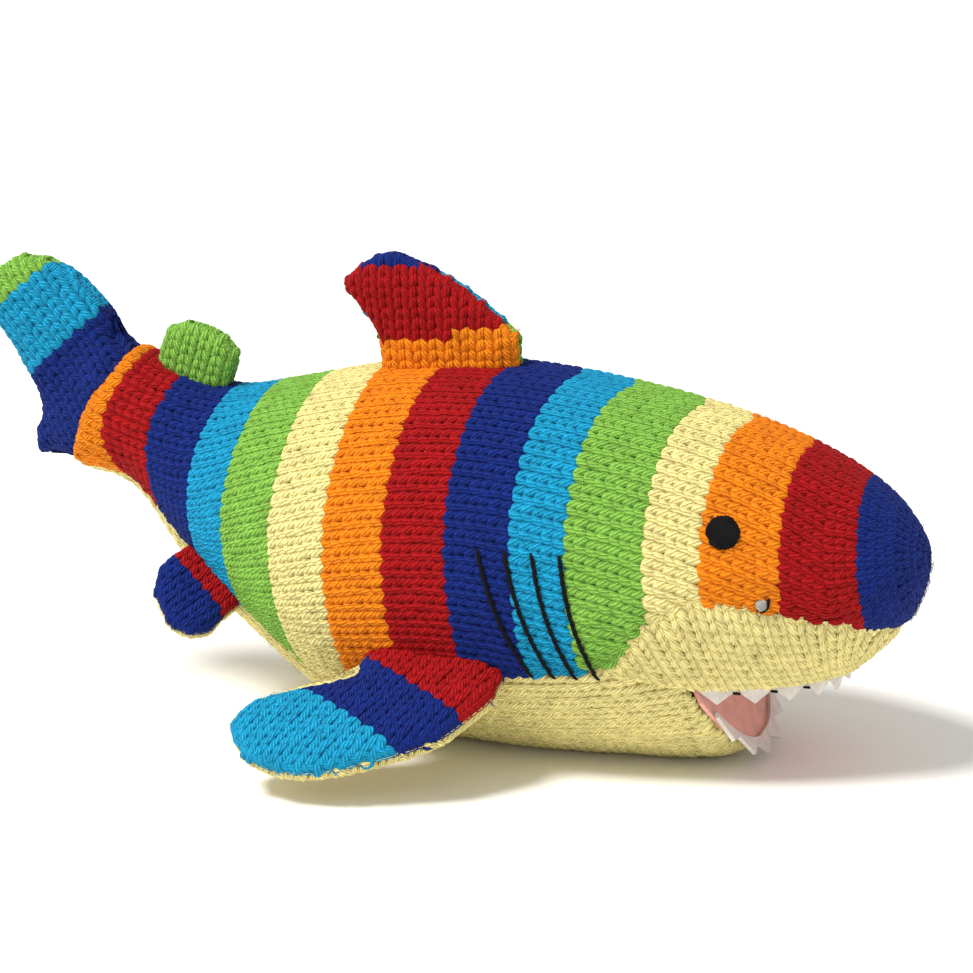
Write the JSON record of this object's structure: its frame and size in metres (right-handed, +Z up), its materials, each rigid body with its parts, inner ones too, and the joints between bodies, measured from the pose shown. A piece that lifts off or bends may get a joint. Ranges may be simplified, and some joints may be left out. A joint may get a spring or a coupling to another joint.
{
  "type": "plush shark",
  "caption": "Knitted plush shark with striped back, cream belly and muzzle, felt mouth with soft teeth, and stuffed back, side and tail fins.",
  "frame": {"origin": "on the surface the belly rests on, under the middle of the overall box", "axes": "+X to the nose, +Y to the shark's left, +Z up"},
  "size_m": [0.3441, 0.1936, 0.1671],
  "materials": {
    "navy_yarn": "knitted acrylic yarn",
    "red_yarn": "knitted acrylic yarn",
    "orange_yarn": "knitted acrylic yarn",
    "cream_yarn": "knitted acrylic yarn",
    "green_yarn": "knitted acrylic yarn",
    "blue_yarn": "knitted acrylic yarn",
    "pink_felt": "pressed felt",
    "white_felt": "pressed felt",
    "black_thread": "satin stitched thread",
    "grey_thread": "satin stitched thread",
    "polyester_filling": "loose polyester fibre"
  },
  "bodies": {
    "body": {"back_panel": "orange_yarn", "belly_panel": "cream_yarn", "muzzle_panel": "cream_yarn", "body_filling": "polyester_filling", "upper_mouth_lining": "pink_felt", "upper_teeth": "white_felt", "tooth_tacks": "black_thread", "eye_right": "black_thread", "eye_left": "black_thread", "nostril_right": "grey_thread", "nostril_left": "grey_thread", "gill_stitches_right": "black_thread", "gill_stitches_left": "black_thread"},
    "dorsal_fin": {"dorsal_right_panel": "red_yarn", "dorsal_left_panel": "blue_yarn", "dorsal_filling": "polyester_filling"},
    "rear_dorsal_fin": {"rear_dorsal_right_panel": "green_yarn", "rear_dorsal_left_panel": "green_yarn", "rear_dorsal_filling": "polyester_filling"},
    "pectoral_right": {"pectoral_right_top": "blue_yarn", "pectoral_right_bottom": "cream_yarn", "pectoral_right_filling": "polyester_filling"},
    "pectoral_left": {"pectoral_left_top": "blue_yarn", "pectoral_left_bottom": "cream_yarn", "pectoral_left_filling": "polyester_filling"},
    "pelvic_right": {"pelvic_right_top": "navy_yarn", "pelvic_right_bottom": "cream_yarn", "pelvic_right_filling": "polyester_filling"},
    "pelvic_left": {"pelvic_left_top": "navy_yarn", "pelvic_left_bottom": "cream_yarn", "pelvic_left_filling": "polyester_filling"},
    "tail_fin": {"tail_right_panel": "blue_yarn", "tail_left_panel": "blue_yarn", "tail_filling": "polyester_filling"},
    "lower_jaw": {"lower_jaw_panel": "cream_yarn", "lower_jaw_filling": "polyester_filling", "lower_mouth_lining": "pink_felt", "lower_teeth": "white_felt"}
  },
  "joints": [
    {"name": "dorsal_lean", "type": "hinge", "parent": "body", "child": "dorsal_fin", "pos_m": [0.00679, 0, 0.13841], "axis": [0.9978, 0, 0.0667], "range_deg": [-20, 20], "stiffness_Nm_per_rad": 0.15},
    {"name": "rear_dorsal_lean", "type": "hinge", "parent": "body", "child": "rear_dorsal_fin", "pos_m": [-0.08668, 0, 0.12564], "axis": [0.9566, 0, -0.2914], "range_deg": [-20, 20], "stiffness_Nm_per_rad": 0.06},
    {"name": "pectoral_right_flap", "type": "hinge", "parent": "body", "child": "pectoral_right", "pos_m": [0.01829, -0.06147, 0.03165], "axis": [-0.9994, 0.0277, 0.0206], "range_deg": [-8, 35], "stiffness_Nm_per_rad": 0.2},
    {"name": "pectoral_left_flap", "type": "hinge", "parent": "body", "child": "pectoral_left", "pos_m": [0.01829, 0.06147, 0.03165], "axis": [0.9994, 0.0277, -0.0206], "range_deg": [-8, 35], "stiffness_Nm_per_rad": 0.2},
    {"name": "pelvic_right_flap", "type": "hinge", "parent": "body", "child": "pelvic_right", "pos_m": [-0.07448, -0.0355, 0.05077], "axis": [-0.7713, 0.2484, 0.586], "range_deg": [-15, 25], "stiffness_Nm_per_rad": 0.06},
    {"name": "pelvic_left_flap", "type": "hinge", "parent": "body", "child": "pelvic_left", "pos_m": [-0.07448, 0.0355, 0.05077], "axis": [0.7713, 0.2484, -0.586], "range_deg": [-15, 25], "stiffness_Nm_per_rad": 0.06},
    {"name": "tail_swing", "type": "hinge", "parent": "body", "child": "tail_fin", "pos_m": [-0.1294, 0, 0.1101], "axis": [0.4848, 0, 0.8746], "range_deg": [-25, 25], "stiffness_Nm_per_rad": 0.25},
    {"name": "jaw_close", "type": "hinge", "parent": "body", "child": "lower_jaw", "pos_m": [0.10199, 0, 0.035], "axis": [0, -1, 0], "range_deg": [0, 18], "stiffness_Nm_per_rad": 0.15}
  ]
}
